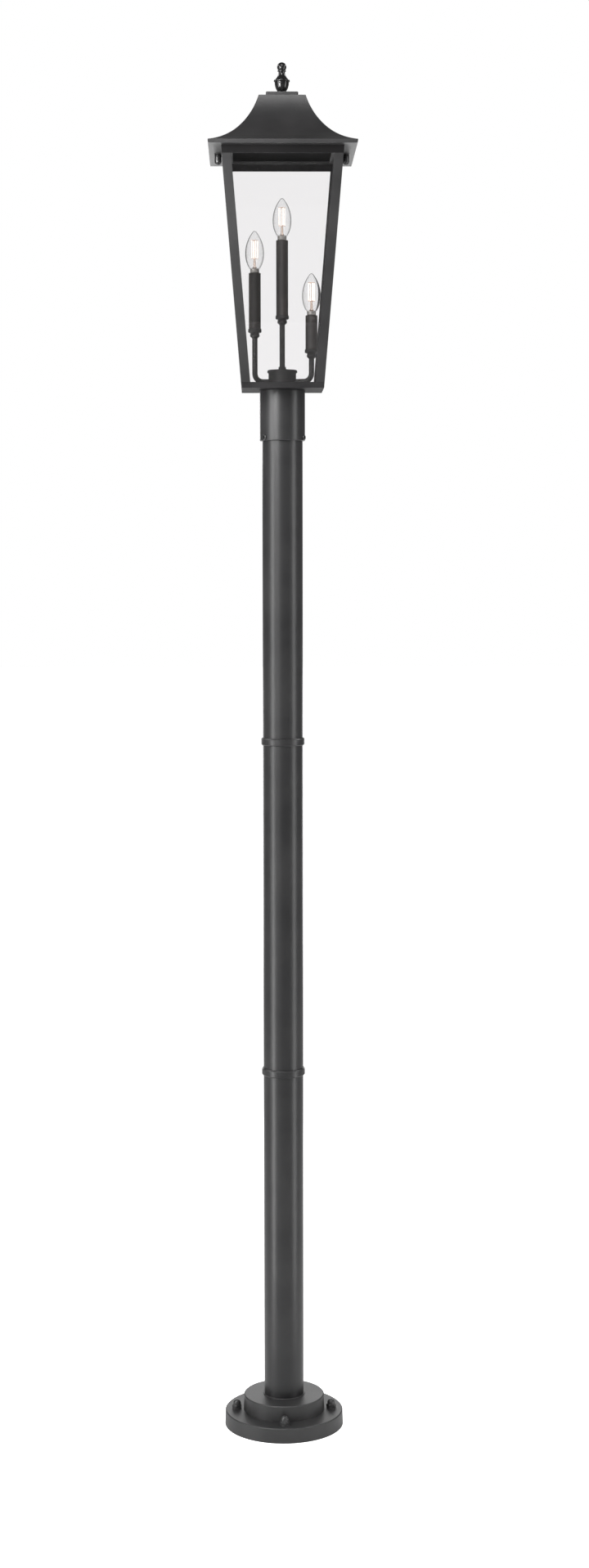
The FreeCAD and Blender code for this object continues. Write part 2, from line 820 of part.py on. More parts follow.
parts["hub_nipple"] = pipe(tube_r, tube_bore_r, nipple_low, nipple_high)
nipple_nut = hex_nut(tube_nut_flats, tube_r + fixed_gap, 0, tube_nut_height)
parts["nipple_nuts"] = Part.makeCompound([
    moved(nipple_nut, z=cage_bottom - fitter_top_thickness - tube_nut_height),
    moved(nipple_nut, z=hub_floor_top)])
parts["hub_body"] = make_hub_body()
parts["hub_cover"] = make_hub_cover()
parts["stem_neck_nut"] = hex_nut(tube_nut_flats, tube_r + fixed_gap, cover_top, cover_top + neck_nut_height)
parts["tube_lock_nuts"] = Part.makeCompound(
    [moved(nipple_nut, z=hub_top - tube_nut_height)]
    + [laid_out(moved(nipple_nut, z=arm_nut_seat - tube_nut_height), *place) for place in side_candles])
center_cup_z = pan_top + center_cup_rise
left_cup_z = pan_top + left_cup_rise
right_cup_z = pan_top + right_cup_rise
parts["stem_center"] = fused([
    pipe(tube_r, tube_bore_r, hub_top - tube_nut_height - tube_end, center_cup_z),
    pipe(riser_r, tube_bore_r, center_cup_z, riser_top(center_cup_z, center_sleeve_length))])
parts["arm_left"] = make_side_arm(left_plan_x, left_plan_y, left_cup_z, left_sleeve_length)
parts["arm_right"] = make_side_arm(right_plan_x, right_plan_y, right_cup_z, right_sleeve_length)


# ==================================================================== candles
def make_cup():
    """Turned cup: a bead over the tube, a waist and a wide lip, recessed for the sleeve."""
    seat_r = sleeve_r + fixed_gap
    lip_r = seat_r + cup_lip_thickness
    seat = cup_height - cup_seat_depth
    return turned(chamfered_outline(
        (riser_r + fixed_gap, 0),
        (cup_foot_r, 0),
        (cup_bead_r, cup_bead_low, cup_edge_chamfer),
        (cup_bead_r, cup_bead_high, cup_edge_chamfer),
        (cup_waist_r, cup_waist_height),
        (lip_r, cup_lip_low),
        (lip_r, cup_height, cup_edge_chamfer),
        (seat_r, cup_height),
        (seat_r, seat),
        (riser_r + fixed_gap, seat)))


def make_socket_body(top):
    """Moulded lampholder: a bore for the screw shell above, and one for the riser in its foot."""
    bore_r = shell_r + fixed_gap
    foot_r = riser_r + fixed_gap
    low = top - socket_height
    bore_floor = top - socket_bore_depth
    return turned(outline(
        (foot_r, low),
        (socket_r, low),
        (socket_r, top),
        (bore_r, top),
        (bore_r, bore_floor),
        (0, bore_floor),
        (0, low + socket_foot_depth),
        (foot_r, low + socket_foot_depth)))


def make_socket_contacts(top):
    """Brass screw shell and centre contact, on the floor of the lampholder's bore."""
    floor = top - socket_bore_depth
    shell = pipe(shell_r, lamp_screw_r + running_gap, floor, floor + shell_height)
    return Part.makeCompound([shell, cylinder(contact_r, floor, floor + contact_height)])


def make_lamp_base():
    """Metal collar that holds the glass, over the screw cap and its tip."""
    cap_low = -lamp_screw_length
    tip_low = cap_low - lamp_tip_length
    recess = lamp_collar_height - glass_neck_depth
    return turned(chamfered_outline(
        (0, tip_low),
        (lamp_tip_r, tip_low),
        (lamp_screw_r, cap_low),
        (lamp_screw_r, 0),
        (lamp_collar_r, 0),
        (lamp_collar_r, lamp_collar_height, lamp_collar_chamfer),
        (glass_neck_r + fixed_gap, lamp_collar_height),
        (glass_neck_r + fixed_gap, recess),
        (0, recess)))


def glass_form(inset):
    """The candle lamp's form from the neck to the tip, drawn in by an inset, in conical bands."""
    shoulder = (glass_shoulder_r - inset, glass_shoulder_height + inset)
    lower = (glass_lower_r - inset, glass_lower_height)
    widest = (glass_widest_r - inset, glass_widest_height)
    upper = (glass_upper_r - inset, glass_upper_height)
    tip_edge = (glass_tip_r - inset, glass_tip_height)
    belly = arc_places(shoulder, lower, widest, glass_bands)
    taper = arc_places(widest, upper, tip_edge, glass_bands)
    return turned(outline(
        (0, -glass_neck_depth),
        (glass_neck_r - inset, -glass_neck_depth),
        (glass_neck_r - inset, inset),
        shoulder,
        *belly,
        *taper,
        (glass_tip_r / 2 - inset / 2, (glass_tip_height + glass_height) / 2 + glass_tip_rise),
        (0, glass_height - inset)))


def make_lamp_filaments():
    """Glass mount with a rod, and upright filaments between two small plates."""
    foot = -glass_neck_depth
    first = mount_height + spider_thickness
    last = first + filament_length
    mount = turned(outline(
        (0, foot),
        (mount_foot_r, foot),
        (mount_foot_r, 0),
        (mount_neck_r, mount_height / 2),
        (mount_neck_r, mount_height),
        (0, mount_height)))
    plates = [cylinder(spider_r, z, z + spider_thickness) for z in (mount_height, last)]
    rod = cylinder(mount_rod_r, first, last)
    strips = []
    corner = Vector(filament_circle_r - filament_thickness / 2, -filament_width / 2, first)
    strip = Part.makeBox(filament_thickness, filament_width, filament_length, corner)
    for index in range(filament_count):
        strips.append(spun(strip, index * 360 / filament_count))
    return Part.makeCompound([mount, rod] + plates + strips)


socket_bore_depth = lamp_screw_length + lamp_tip_length + contact_height - socket_drop
cup = make_cup()
lamp_base = make_lamp_base()
lamp_glass = glass_form(0).cut(glass_form(glass_wall))
lamp_filaments = make_lamp_filaments()
candles = [
    ("left", left_plan_x, left_plan_y, left_cup_z, left_sleeve_length),
    ("center", 0, 0, center_cup_z, center_sleeve_length),
    ("right", right_plan_x, right_plan_y, right_cup_z, right_sleeve_length)]
for name, x, y, cup_z, sleeve_length in candles:
    sleeve_low = cup_z + cup_height - cup_seat_depth
    sleeve_high = sleeve_low + sleeve_length
    socket_top = sleeve_high - socket_drop
    glass_low = sleeve_high + lamp_collar_height
    sleeve = pipe(sleeve_r, sleeve_r - sleeve_wall, sleeve_low, sleeve_high)
    parts["candle_cup_" + name] = moved(cup, x, y, cup_z)
    parts["candle_sleeve_" + name] = moved(sleeve, x, y)
    parts["socket_body_" + name] = moved(make_socket_body(socket_top), x, y)
    parts["socket_contacts_" + name] = moved(make_socket_contacts(socket_top), x, y)
    parts["lamp_base_" + name] = moved(lamp_base, x, y, sleeve_high)
    parts["lamp_glass_" + name] = moved(lamp_glass, x, y, glass_low)
    parts["lamp_filaments_" + name] = moved(lamp_filaments, x, y, glass_low)

# ====================================================================== output
os.makedirs("parts", exist_ok=True)
for name, shape in parts.items():
    shape.exportStep("parts/" + name + ".step")
print(len(parts), "nodes, top at", round(roof_top + cap_plate_height + finial_height, 1))
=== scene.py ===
import bpy
import bmesh
import math
from mathutils import Matrix, Vector


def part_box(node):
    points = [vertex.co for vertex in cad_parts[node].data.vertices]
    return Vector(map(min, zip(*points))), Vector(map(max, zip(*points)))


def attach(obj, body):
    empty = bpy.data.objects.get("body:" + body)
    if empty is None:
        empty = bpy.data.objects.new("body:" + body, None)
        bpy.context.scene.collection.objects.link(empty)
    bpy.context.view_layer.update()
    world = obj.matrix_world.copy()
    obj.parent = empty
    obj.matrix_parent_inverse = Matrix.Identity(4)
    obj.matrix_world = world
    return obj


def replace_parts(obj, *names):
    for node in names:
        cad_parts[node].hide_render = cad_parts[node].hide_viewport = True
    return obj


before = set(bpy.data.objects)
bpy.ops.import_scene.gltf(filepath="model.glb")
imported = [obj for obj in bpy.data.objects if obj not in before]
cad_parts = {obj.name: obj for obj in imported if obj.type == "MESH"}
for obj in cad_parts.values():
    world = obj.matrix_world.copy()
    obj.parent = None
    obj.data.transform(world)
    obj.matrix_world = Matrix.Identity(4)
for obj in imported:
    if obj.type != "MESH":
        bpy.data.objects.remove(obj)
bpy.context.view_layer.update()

# ================================================================== photographer's stand
# The camera stands almost straight in front of the post, a hand's breadth to the left, at eye
# height. It looks slightly down and leans a hair to the right. The lens is shifted a little down,
# and a little to the right, since the post stands left of the picture's middle.
camera_distance = 4.534
camera_height = 1.70
camera_side = math.radians(0.8)
camera_tilt = math.radians(4.91)
camera_lean = math.radians(0.1)
image_height = 36.0
focal_length = 54.74
frame_shift_right = 0.0076
frame_shift_down = 0.019
sight_limit = 100.0

camera_data = bpy.data.cameras.new("camera")
camera_data.sensor_fit = "VERTICAL"
camera_data.sensor_height = image_height
camera_data.lens = focal_length
camera_data.shift_x = frame_shift_right
camera_data.shift_y = -frame_shift_down
camera_data.clip_end = sight_limit
camera = bpy.data.objects.new("camera", camera_data)
camera.location = (-camera_distance * math.sin(camera_side),
                   -camera_distance * math.cos(camera_side), camera_height)
camera.rotation_euler = (math.pi / 2 - camera_tilt, camera_lean, -camera_side)
bpy.context.scene.collection.objects.link(camera)
bpy.context.scene.camera = camera

# ======================================================================= studio floor
# A wide sheet of white paper under the post. The camera sees it burnt out to the white of the
# background, and the post's coat sees it a good deal darker, as on a floor lit only from behind.
floor_reach = 30.0
paper_seen = 1.0
paper_reflected = 0.2
paper_shade = (0.8, 0.8, 0.8, 1.0)
paper_roughness = 0.9
paper_shine = 0.0
white = (1.0, 1.0, 1.0, 1.0)


def surface(name):
    """A new material, with its node tree and its shader."""
    material = bpy.data.materials.new(name)
    material.use_nodes = True
    return material, material.node_tree, material.node_tree.nodes["Principled BSDF"]


def straight_view(tree, mirrored, direct, socket):
    """Gives a socket one strength in the camera's own view, also through glass, and another one
    in the light that the pieces mirror or scatter."""
    path = tree.nodes.new("ShaderNodeLightPath")
    mirrors = tree.nodes.new("ShaderNodeMath")
    mirrors.operation = "ADD"
    tree.links.new(path.outputs["Glossy Depth"], mirrors.inputs[0])
    tree.links.new(path.outputs["Diffuse Depth"], mirrors.inputs[1])
    strength = tree.nodes.new("ShaderNodeMapRange")
    strength.inputs["To Min"].default_value = direct
    strength.inputs["To Max"].default_value = mirrored
    tree.links.new(mirrors.outputs[0], strength.inputs["Value"])
    tree.links.new(strength.outputs[0], socket)


floor_mesh = bpy.data.meshes.new("studio_floor")
floor_corners = [(-floor_reach, -floor_reach, 0), (floor_reach, -floor_reach, 0),
                 (floor_reach, floor_reach, 0), (-floor_reach, floor_reach, 0)]
floor_mesh.from_pydata(floor_corners, [], [(0, 1, 2, 3)])
studio_floor = bpy.data.objects.new("studio_floor", floor_mesh)
bpy.context.scene.collection.objects.link(studio_floor)
paper, paper_tree, paper_shader = surface("floor_paper")
paper_shader.inputs["Base Color"].default_value = paper_shade
paper_shader.inputs["Roughness"].default_value = paper_roughness
paper_shader.inputs["Specular IOR Level"].default_value = paper_shine
paper_shader.inputs["Emission Color"].default_value = white
straight_view(paper_tree, paper_reflected, paper_seen, paper_shader.inputs["Emission Strength"])
floor_mesh.materials.append(paper)

# ======================================================================= studio light
# Two tall strips close beside the post draw its pale stripes. Three boxes in front light the
# lantern, its eave and its roof, and two low behind the eave's underside and the base's top. Two
# high behind and one far in front soften the rest, in a room white to the eye and dim in the coat.
light_stands = [
    # name, place, what it faces, width, height, power
    ("strip_left", (-0.78, -0.47, 1.45), (0.0, 0.0, 1.45), 0.16, 3.3, 17.0),
    ("strip_right", (0.88, -0.4, 1.45), (0.0, 0.0, 1.45), 0.16, 3.3, 11.2),
    ("box_front_left", (-0.6, -0.8, 2.35), (0.0, 0.0, 2.25), 0.3, 0.5, 12.0),
    ("box_brow", (-0.55, -2.0, 2.96), (0.0, 0.0, 2.5), 0.4, 0.2, 4.5),
    ("box_roof", (-0.2, -1.9, 4.25), (0.0, 0.0, 2.5), 1.5, 0.5, 28.0),
    ("box_eave", (-0.35, 2.5, 2.06), (0.0, 0.0, 2.4), 1.4, 0.25, 5.5),
    ("box_base", (0.0, 2.3, 0.9), (0.0, 0.0, 0.05), 2.4, 0.9, 17.0),
    ("box_back_left", (-2.6, 1.5, 4.2), (0.0, 0.0, 1.8), 1.2, 1.2, 28.0),
    ("box_back_right", (2.6, 1.5, 4.2), (0.0, 0.0, 1.8), 1.2, 1.2, 28.0),
    ("box_fill", (-2.6, -4.6, 2.0), (0.0, 0.0, 1.4), 1.4, 2.6, 35.0),
]
room_seen = 1.0
room_reflected = 0.13

for name, place, aim, width, height, power in light_stands:
    lamp = bpy.data.lights.new(name, "AREA")
    lamp.shape = "RECTANGLE"
    lamp.size = width
    lamp.size_y = height
    lamp.energy = power
    stand = bpy.data.objects.new(name, lamp)
    stand.location = place
    stand.rotation_euler = (Vector(aim) - Vector(place)).to_track_quat("-Z", "Y").to_euler()
    stand.visible_camera = False
    stand.visible_transmission = False
    bpy.context.scene.collection.objects.link(stand)

world = bpy.data.worlds.new("white_room")
world.use_nodes = True
bpy.context.scene.world = world
background = world.node_tree.nodes["Background"]
background.inputs["Color"].default_value = white
straight_view(world.node_tree, room_reflected, room_seen, background.inputs["Strength"])
bpy.context.scene.view_settings.view_transform = "Standard"

# ========================================================================= base plate
# Round plate with a raised boss, cast in iron and faced on a lathe, then coated black with the
# rest. The coat is a baked powder: satin, with faint clouds in its shade and a fine grain that
# raises it and varies its gloss.
# Painted light: the base's shades are paler than the post's coat, for the light that falls on it.
iron_lit_dark = (0.0215, 0.0215, 0.022, 1.0)
iron_lit_light = (0.034, 0.0338, 0.0343, 1.0)
iron_roughness = 0.45
coat_grain = 0.0007
coat_shine = 0.55
cloud_size = 0.09
cloud_detail = 4.0
grain_detail = 3.0
grain_smoother = 0.05
grain_rougher = 0.07
grain_depth = 1 / 8
grain_strength = 0.35
cast_edge = 0.0012
edge_steps = 3
edge_sharper_than = math.radians(25)


def noise(tree, size, detail=2.0):
    """A noise laid through the piece itself, with features of about this size in metres."""
    place = tree.nodes.new("ShaderNodeTexCoord")
    grain = tree.nodes.new("ShaderNodeTexNoise")
    grain.inputs["Scale"].default_value = 1.0 / size
    grain.inputs["Detail"].default_value = detail
    tree.links.new(place.outputs["Object"], grain.inputs["Vector"])
    return grain.outputs[0]


def spread(tree, value, low, high, socket, start=0.3, stop=0.7):
    """Spreads a pattern between two numbers and gives it to a socket."""
    span = tree.nodes.new("ShaderNodeMapRange")
    span.inputs["From Min"].default_value = start
    span.inputs["From Max"].default_value = stop
    span.inputs["To Min"].default_value = low
    span.inputs["To Max"].default_value = high
    tree.links.new(value, span.inputs["Value"])
    tree.links.new(span.outputs[0], socket)


def blend_shades(tree, value, first, second, socket, start=0.35, stop=0.65):
    """Runs from one shade to another with a pattern, into a socket."""
    ramp = tree.nodes.new("ShaderNodeValToRGB")
    ramp.color_ramp.elements[0].position = start
    ramp.color_ramp.elements[0].color = first
    ramp.color_ramp.elements[1].position = stop
    ramp.color_ramp.elements[1].color = second
    tree.links.new(value, ramp.inputs[0])
    tree.links.new(ramp.outputs[0], socket)


def bumps(tree, value, depth, strength, shader):
    """Raises the surface by a pattern."""
    relief = tree.nodes.new("ShaderNodeBump")
    relief.inputs["Distance"].default_value = depth
    relief.inputs["Strength"].default_value = strength
    tree.links.new(value, relief.inputs["Height"])
    tree.links.new(relief.outputs[0], shader.inputs["Normal"])


def powder_coat(name, dark, light, roughness, grain, shine=coat_shine):
    """Baked black powder coat over metal, with a grain of about this size in metres."""
    material, tree, shader = surface(name)
    clouds = noise(tree, cloud_size, cloud_detail)
    peel = noise(tree, grain, grain_detail)
    smoothest = roughness - grain_smoother
    roughest = roughness + grain_rougher
    blend_shades(tree, clouds, dark, light, shader.inputs["Base Color"])
    spread(tree, peel, smoothest, roughest, shader.inputs["Roughness"])
    bumps(tree, peel, grain * grain_depth, grain_strength, shader)
    shader.inputs["Specular IOR Level"].default_value = shine
    return material


def paint(material, *names):
    """Gives a material to nodes of the frame."""
    for name in names:
        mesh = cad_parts[name].data
        mesh.materials.clear()
        mesh.materials.append(material)


def soften(width, *names):
    """Breaks the sharp edges of nodes of the frame, as a coat or a file does."""
    for name in names:
        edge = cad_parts[name].modifiers.new("soft_edges", "BEVEL")
        edge.width = width
        edge.segments = edge_steps
        edge.limit_method = "ANGLE"
        edge.angle_limit = edge_sharper_than


iron_painted_light_coat = powder_coat("iron_painted_light_coat", iron_lit_dark, iron_lit_light, iron_roughness, coat_grain)
paint(iron_painted_light_coat, "base_flange")
soften(cast_edge, "base_flange")

# =================================================================== acorn nuts on the base
# Four black steel acorn nuts with a flange, each drawn down on one of the anchor studs and stopped
# at its own angle. From here on the sizes of pieces are millimetres, as on a workshop drawing, while
# soft edges, grains and ripples stay in metres.
# Painted light: the nuts' shades are paler than the black steel of the screws and roof nuts, for the light on
# the base.
nut_lit_dark = (0.03, 0.03, 0.0305, 1.0)
nut_lit_light = (0.05, 0.0495, 0.05, 1.0)
nut_roughness = 0.3
steel_grain = 0.0012
nut_flange_r = 9.4
nut_flange_height = 1.6
nut_flats = 17.0
nut_hex_height = 6.9
nut_dome_r = 7.6
nut_chamfer = 1.3
nut_rim_round = 0.5
nut_bore_r = 5.3
nut_bore_depth = 13.0
nut_face_share = 0.97
nut_angles = [12.0, 37.0, 3.0, 51.0]
anchor_circle_r = 92.075
chamfer_steps = 4
on_axis = 0.000001
millimetre = 0.001


def rounded(corners, steps=4):
    """An outline of (radius, height) places, from corners (radius, height, rounding)."""
    places = []
    for index, (radius, height, rounding) in enumerate(corners):
        here = Vector((radius, height))
        if rounding == 0:
            places.append(here)
            continue
        back = (Vector(corners[index - 1][:2]) - here).normalized()
        ahead = (Vector(corners[(index + 1) % len(corners)][:2]) - here).normalized()
        half = back.angle(ahead) / 2
        center = here + (back + ahead).normalized() * (rounding / math.sin(half))
        start = here + back * (rounding / math.tan(half)) - center
        end = here + ahead * (rounding / math.tan(half)) - center
        first = math.atan2(start.y, start.x)
        swing = (math.atan2(end.y, end.x) - first + math.pi) % (2 * math.pi) - math.pi
        for step in range(steps + 1):
            angle = first + swing * step / steps
            places.append(center + Vector((math.cos(angle), math.sin(angle))) * rounding)
    return places


def bow(start, middle, end, steps):
    """Places from start to end on the arc that passes through the middle one."""
    (ax, ay), (bx, by), (cx, cy) = start, middle, end
    d = 2 * (ax * (by - cy) + bx * (cy - ay) + cx * (ay - by))
    a2, b2, c2 = ax * ax + ay * ay, bx * bx + by * by, cx * cx + cy * cy
    center = Vector(((a2 * (by - cy) + b2 * (cy - ay) + c2 * (ay - by)) / d,
                     (a2 * (cx - bx) + b2 * (ax - cx) + c2 * (bx - ax)) / d))
    spokes = [Vector(place) - center for place in (start, middle, end)]
    first, halfway, last = [math.atan2(spoke.y, spoke.x) for spoke in spokes]
    swing = (last - first) % (2 * math.pi)
    if (halfway - first) % (2 * math.pi) > swing:
        swing -= 2 * math.pi
    angles = [first + swing * step / steps for step in range(steps + 1)]
    return [center + Vector((math.cos(a), math.sin(a))) * spokes[0].length for a in angles]


def quarter_round(radius, rim, way):
    """A dome's outline from its rim to the axis, with way 1 for upwards and -1 for downwards."""
    slant = radius * math.sqrt(0.5)
    return bow((radius, rim), (slant, rim + way * slant), (0.0, rim + way * radius), 12)


def turn(form, outline, around=64, center=(0.0, 0.0, 0.0), flats=0.0, angle=0.0):
    """Turns a closed outline of (radius, height) places about an upright axis, into a bmesh. With
    flats it is cut from hexagonal bar, so no place is further out than the hexagon. A place with a
    third number has flats of its own."""
    x, y, z = center
    rings = []
    for radius, height, *own_flats in outline:
        across = own_flats[0] if own_flats else flats
        if radius < on_axis:
            rings.append([form.verts.new((x, y, z + height))] * around)
            continue
        ring = []
        for i in range(around):
            spoke = 2 * math.pi * i / around
            reach = radius
            if across:
                off_flat = (spoke + math.pi / 6) % (math.pi / 3) - math.pi / 6
                reach = min(radius, across / 2 / math.cos(off_flat))
            spoke += math.radians(angle)
            place = (x + reach * math.cos(spoke), y + reach * math.sin(spoke), z + height)
            ring.append(form.verts.new(place))
        rings.append(ring)
    for ring, following in zip(rings, rings[1:] + rings[:1]):
        for i in range(around):
            j = (i + 1) % around
            corners = list(dict.fromkeys([ring[i], ring[j], following[j], following[i]]))
            if len(corners) > 2:
                form.faces.new(corners)
    return form


def nut_body(form, flats, hole_r, low, high, chamfer, center=(0.0, 0.0, 0.0), angle=0.0):
    """A hexagonal nut body, whose corners are turned off at both ends, into a bmesh."""
    face_r = flats / 2 * nut_face_share
    turned_off = flats / math.sqrt(3) - flats / 2
    shares = [step / chamfer_steps for step in range(chamfer_steps + 1)]
    lower = [(flats / 2 + turned_off * share, low + chamfer * share) for share in shares]
    upper = [(flats / 2 + turned_off * share, high - chamfer * share) for share in reversed(shares)]
    rows = [(hole_r, low), (face_r, low)] + lower + upper + [(face_r, high), (hole_r, high)]
    return turn(form, rows, around=72, center=center, flats=flats, angle=angle)


def piece(name, form, body, material, smooth=32.0):
    """Makes a bmesh in millimetres into a piece of the lamp post that rides on a body. Edges up to
    the smooth angle don't show."""
    bmesh.ops.recalc_face_normals(form, faces=form.faces[:])
    bmesh.ops.scale(form, vec=(millimetre, millimetre, millimetre), verts=form.verts[:])
    mesh = bpy.data.meshes.new(name)
    form.to_mesh(mesh)
    form.free()
    mesh.polygons.foreach_set("use_smooth", [True] * len(mesh.polygons))
    mesh.set_sharp_from_angle(angle=math.radians(smooth))
    mesh.materials.append(material)
    made = bpy.data.objects.new(name, mesh)
    bpy.context.scene.collection.objects.link(made)
    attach(made, body)
    return made


def axis_mm(node):
    """Where a node's upright axis stands, and its foot's and its top's height, in millimetres."""
    low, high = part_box(node)
    places = [(low[0] + high[0]) / 2, (low[1] + high[1]) / 2, low[2], high[2]]
    return [place / millimetre for place in places]


nut_painted_light_coat = powder_coat("nut_painted_light_coat", nut_lit_dark, nut_lit_light, nut_roughness, steel_grain)
nut_seat, nut_top = axis_mm("anchor_cap_nuts")[2:]
hex_high = nut_flange_height + nut_hex_height
nut_flange = rounded([(nut_bore_r, 0, 0), (nut_flange_r, 0, 0),
                      (nut_flange_r, nut_flange_height, nut_rim_round), (nut_bore_r, nut_flange_height, 0)])
nut_bore = [(0.0, nut_bore_depth), (nut_bore_r, nut_bore_depth), (nut_bore_r, hex_high)]
nut_dome = quarter_round(nut_dome_r, nut_top - nut_seat - nut_dome_r, 1)
for index, nut_angle in enumerate(nut_angles):
    spoke = math.radians(index * 90 - 90)
    seat = (anchor_circle_r * math.cos(spoke), anchor_circle_r * math.sin(spoke), nut_seat)
    acorn = bmesh.new()
    turn(acorn, nut_flange, around=64, center=seat)
    nut_body(acorn, nut_flats, nut_bore_r, nut_flange_height, hex_high, nut_chamfer, seat, nut_angle)
    turn(acorn, nut_bore + [(nut_dome_r, hex_high)] + nut_dome, around=48, center=seat)
    nut = piece("acorn_nut_%d" % (index + 1), acorn, "post", nut_painted_light_coat)
    if index == 0:
        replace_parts(nut, "anchor_cap_nuts")

# =================================================================== post and its rings
# Three lengths of round steel tube, joined by turned rings whose spigots go up and down into
# them. All of it is coated in one go, so tube and ring have one and the same skin.
coat_dark = (0.0115, 0.0115, 0.0122, 1.0)
coat_light = (0.0205, 0.0203, 0.0208, 1.0)
coat_roughness = 0.36
ring_edge = 0.0006
tube_coat = powder_coat("tube_coat", coat_dark, coat_light, coat_roughness, coat_grain)
paint(tube_coat, "post_section_lower", "post_section_middle", "post_section_upper",
      "joint_coupler_lower", "joint_coupler_upper")
soften(ring_edge, "joint_coupler_lower", "joint_coupler_upper")

# ==================================================================== fitter and screws
# Cast aluminium cup that slips over the post's top and carries the lantern. Three black
# button-head screws with a hexagonal key hole go through its wall and hold it on the post.
steel_dark = (0.011, 0.011, 0.0115, 1.0)
steel_light = (0.019, 0.0187, 0.019, 1.0)
steel_roughness = 0.25
screw_shank_r = 3.0
screw_tip = 38.4
screw_tip_chamfer = 0.4
screw_head_r = 5.3
screw_head_low = 42.95
screw_head_high = 45.55
screw_rim_height = 0.5
screw_crown_r = 4.4
screw_crown_drop = 0.55
screw_face_r = 2.7
screw_key_flats = 4.0
screw_key_depth = 1.6
screw_turns = {"right": -21.0, "left": -141.0, "back": -261.0}
steel_coat = powder_coat("steel_coat", steel_dark, steel_light, steel_roughness, steel_grain)
paint(tube_coat, "fitter_collar")
soften(ring_edge, "fitter_collar")
screw_height = sum(axis_mm("set_screw_right")[2:]) / 2
screw_shank = [(0.0, screw_tip), (screw_shank_r - screw_tip_chamfer, screw_tip),
               (screw_shank_r, screw_tip + screw_tip_chamfer), (screw_shank_r, screw_head_low)]
screw_rim = [(screw_head_r, screw_head_low)]
screw_crown = bow((screw_head_r, screw_head_low + screw_rim_height),
                  (screw_crown_r, screw_head_high - screw_crown_drop), (screw_face_r, screw_head_high), 8)
key_corner_r = screw_key_flats / math.sqrt(3)
key_floor = screw_head_high - screw_key_depth
screw_key = [(key_corner_r, screw_head_high, screw_key_flats), (key_corner_r, key_floor, screw_key_flats),
             (0.0, key_floor)]
for side, screw_angle in screw_turns.items():
    screw = turn(bmesh.new(), screw_shank + screw_rim + screw_crown + screw_key, around=48)
    lay = Matrix.Rotation(math.radians(screw_angle), 4, "Z") @ Matrix.Rotation(math.pi / 2, 4, "Y")
    lift = Matrix.Translation((0, 0, screw_height))
    bmesh.ops.transform(screw, matrix=lift @ lay, verts=screw.verts[:])
    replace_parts(piece("button_screw_" + side, screw, "set_screw_" + side, steel_coat), "set_screw_" + side)

# ======================================================================== lantern frame
# Pan, corner posts, top frame and eave plate of folded and extruded aluminium, held together from
# inside and coated black. The coat is a little duller than the post's, most of all on the pan and
# on the top frame, which lies in the eave's shadow; that shadow is painted shade, a much darker coat.
corner_dark = (0.0105, 0.0103, 0.0107, 1.0)
corner_light = (0.019, 0.0184, 0.0189, 1.0)
corner_roughness = 0.38
eave_roughness = 0.42
# Painted shade: the top frame's shades are much darker than the corner posts', for the eave's shadow.
rail_painted_shade_dark = (0.004, 0.0038, 0.004, 1.0)
rail_painted_shade_light = (0.008, 0.0075, 0.0078, 1.0)
rail_roughness = 0.42
rail_shine = 0.15
pan_dark = (0.017, 0.0167, 0.0172, 1.0)
pan_light = (0.031, 0.0302, 0.031, 1.0)
pan_roughness = 0.5
pan_shine = 0.03
sheet_edge = 0.0005
corner_posts = ["corner_post_back_right", "corner_post_back_left", "corner_post_front_left",
                "corner_post_front_right"]
frame_coat = powder_coat("frame_coat", corner_dark, corner_light, corner_roughness, coat_grain)
eave_coat = powder_coat("eave_coat", coat_dark, coat_light, eave_roughness, coat_grain)
rail_painted_shade_coat = powder_coat("rail_painted_shade_coat", rail_painted_shade_dark, rail_painted_shade_light, rail_roughness, coat_grain, rail_shine)
pan_coat = powder_coat("pan_coat", pan_dark, pan_light, pan_roughness, coat_grain, pan_shine)
paint(frame_coat, *corner_posts)
paint(eave_coat, "eave_plate")
paint(rail_painted_shade_coat, "top_frame")
paint(pan_coat, "bottom_pan")
soften(sheet_edge, "eave_plate", "top_frame", "bottom_pan", *corner_posts)

# ========================================================================== glass panes
# Four tapered panes of clear float glass, which stand on the pan in the grooves of the corner
# posts.
pane_tint = (0.985, 0.979, 0.982, 1.0)
pane_roughness = 0.02
pane_ripple = 0.12
pane_ripple_depth = 0.00005
ripple_strength = 0.2
glass_bending = 1.46
glass_shadow = 0.06


def clear_glass(name, tint, roughness, ripple_size, ripple_depth):
    """Clear glass with a faint unevenness in its face. It throws hardly any shadow."""
    material, tree, shader = surface(name)
    shader.inputs["Base Color"].default_value = tint
    shader.inputs["Transmission Weight"].default_value = 1.0
    shader.inputs["IOR"].default_value = glass_bending
    ripple = noise(tree, ripple_size, 1.0)
    spread(tree, ripple, 0.0, roughness, shader.inputs["Roughness"])
    bumps(tree, ripple, ripple_depth, ripple_strength, shader)
    shadow = tree.nodes.new("ShaderNodeLightPath").outputs["Is Shadow Ray"]
    spread(tree, shadow, 1.0, glass_shadow, shader.inputs["Alpha"], start=0.0, stop=1.0)
    return material


pane_glass = clear_glass("pane_glass", pane_tint, pane_roughness, pane_ripple, pane_ripple_depth)
paint(pane_glass, "glass_pane_front", "glass_pane_right", "glass_pane_back", "glass_pane_left")

